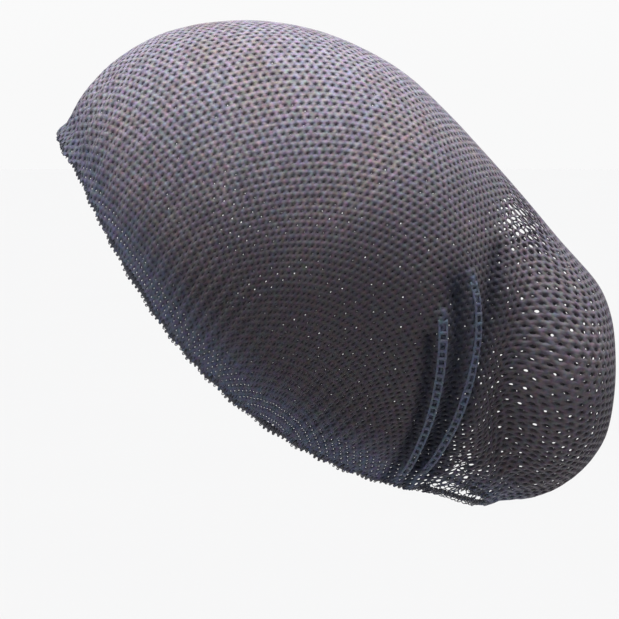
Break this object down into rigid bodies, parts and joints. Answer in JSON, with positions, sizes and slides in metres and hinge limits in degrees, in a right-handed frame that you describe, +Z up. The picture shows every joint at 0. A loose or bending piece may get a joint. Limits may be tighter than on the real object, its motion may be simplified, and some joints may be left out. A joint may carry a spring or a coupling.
{
  "type": "hairnet",
  "caption": "Worn bouffant hairnet of fine black knitted net with an elastic edge, held in the form of a head and a low bun of hair.",
  "frame": {"origin": "inside the crown, on the middle plane at the net's highest point, where the top of the head carries it", "axes": "+Z up, -Y the way the wearer faces, +X the wearer's left"},
  "size_m": [0.1808, 0.2747, 0.24],
  "materials": {
    "net": "knitted nylon net with a faint sheen",
    "edge": "matte covered elastic"
  },
  "bodies": {
    "root": {"net_bag": "net", "elastic_edge": "edge"}
  },
  "joints": []
}
